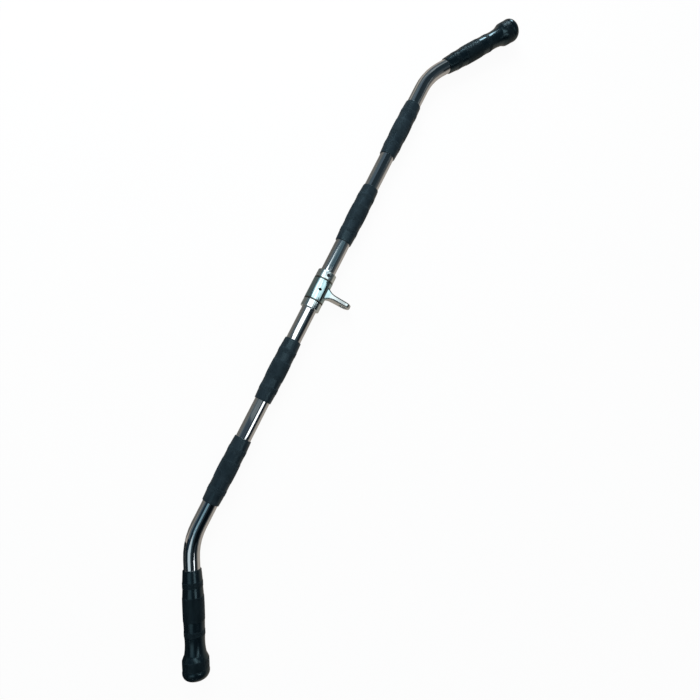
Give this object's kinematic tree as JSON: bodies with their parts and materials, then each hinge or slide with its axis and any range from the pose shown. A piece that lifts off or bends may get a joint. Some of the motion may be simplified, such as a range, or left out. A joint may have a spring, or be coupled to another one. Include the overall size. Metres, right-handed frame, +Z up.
{
  "type": "lat pulldown bar",
  "caption": "Wide cable-machine bar of bent chrome tube with turned-down ends, ringed rubber grips, flared end grips and a swivelling centre eye held between two stop collars.",
  "frame": {"origin": "centre of the hanger's eye, where the cable machine's hook goes through", "axes": "+X along the straight middle of the tube, +Y from the bar's axis out through the lug and the bent ends, +Z up with the bar lying on the floor"},
  "size_m": [1.262, 0.1327, 0.0414],
  "materials": {
    "tube_chrome": "bright polished chrome plate",
    "hanger_chrome": "polished cast steel with bright chrome plate",
    "collar_chrome": "turned steel with bright chrome plate",
    "screw_steel": "black oxide hexagon socket set screw",
    "bush_bronze": "oiled sintered bronze, darkened with use",
    "hand_grip_rubber": "moulded rubber, satin on the smooth bands and diamond grained on the ribs",
    "end_grip_rubber": "moulded rubber, satin on the smooth bands and the bulb and diamond grained on the ribs",
    "plug_plastic": "moulded polyethylene"
  },
  "bodies": {
    "bar": {"bar_tube": "tube_chrome", "stop_collar_left": "collar_chrome", "set_screw_left_1": "screw_steel", "set_screw_left_2": "screw_steel", "inner_grip_left": "hand_grip_rubber", "outer_grip_left": "hand_grip_rubber", "end_grip_left": "end_grip_rubber", "tube_plug_left": "plug_plastic", "stop_collar_right": "collar_chrome", "set_screw_right_1": "screw_steel", "set_screw_right_2": "screw_steel", "inner_grip_right": "hand_grip_rubber", "outer_grip_right": "hand_grip_rubber", "end_grip_right": "end_grip_rubber", "tube_plug_right": "plug_plastic"},
    "hanger": {"hanger_body": "hanger_chrome", "hanger_bush_left": "bush_bronze", "hanger_bush_right": "bush_bronze"}
  },
  "joints": [
    {"name": "hanger_swivel", "type": "hinge", "parent": "bar", "child": "hanger", "pos_m": [0, -0.04927, 0.00473], "axis": [1, 0, 0], "continuous": true}
  ]
}
